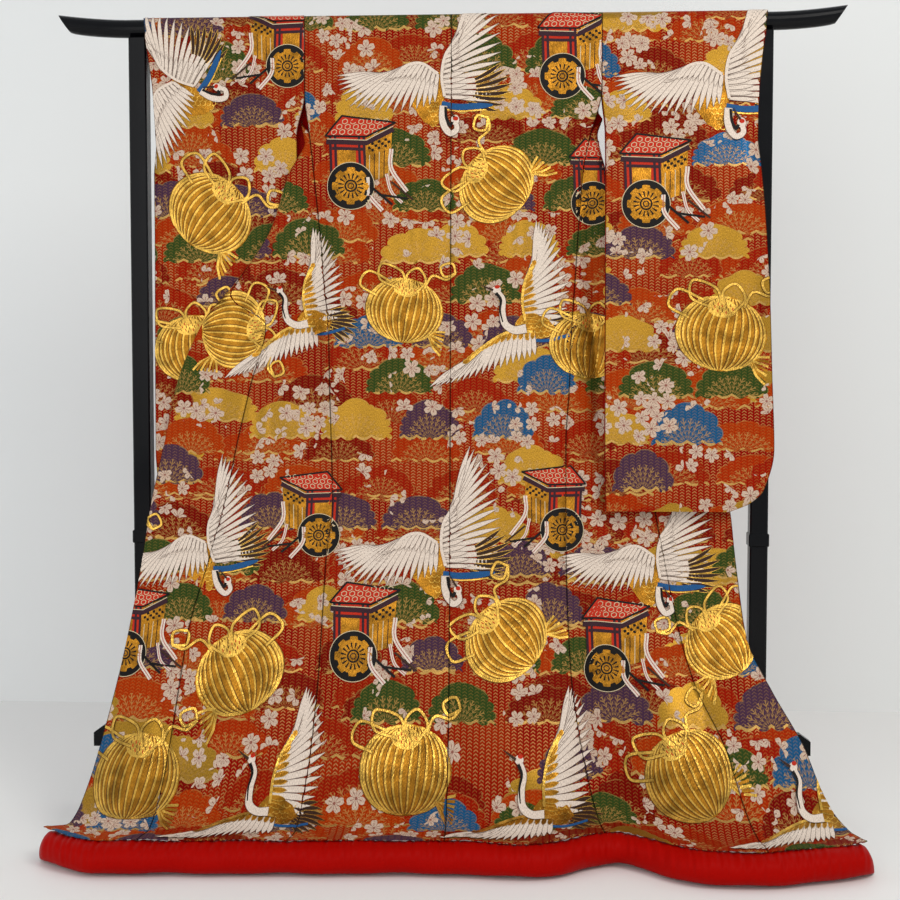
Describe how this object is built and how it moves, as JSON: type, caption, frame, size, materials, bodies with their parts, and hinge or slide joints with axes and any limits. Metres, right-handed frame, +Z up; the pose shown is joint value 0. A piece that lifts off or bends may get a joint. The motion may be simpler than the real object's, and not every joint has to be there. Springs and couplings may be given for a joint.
{
  "type": "uchikake wedding kimono on kimono stand",
  "caption": "Heavy brocade bridal over-robe with a padded trailing hem, hung with its back to the viewer over the bar of a two-post lacquered stand.",
  "frame": {"origin": "on the floor, under the middle of the whole object's box", "axes": "+X to the right as the viewer sees the robe's back, +Y from the viewer towards the side of the robe's opening, +Z up"},
  "size_m": [1.676, 0.7518, 1.716],
  "materials": {
    "black_lacquer": "polished black lacquer",
    "red_brocade": "woven silk with raised coloured wefts",
    "red_silk": "plain padded silk"
  },
  "bodies": {
    "root": {"top_bar": "black_lacquer", "lower_rail": "black_lacquer", "upright_left": "black_lacquer", "upright_right": "black_lacquer", "foot_left": "black_lacquer", "foot_right": "black_lacquer", "back_left": "red_brocade", "back_right": "red_brocade", "front_left": "red_brocade", "front_right": "red_brocade", "okumi_left": "red_brocade", "okumi_right": "red_brocade", "collar": "red_brocade", "sleeve_left": "red_brocade", "sleeve_right": "red_brocade", "hem_roll": "red_silk"}
  },
  "joints": []
}
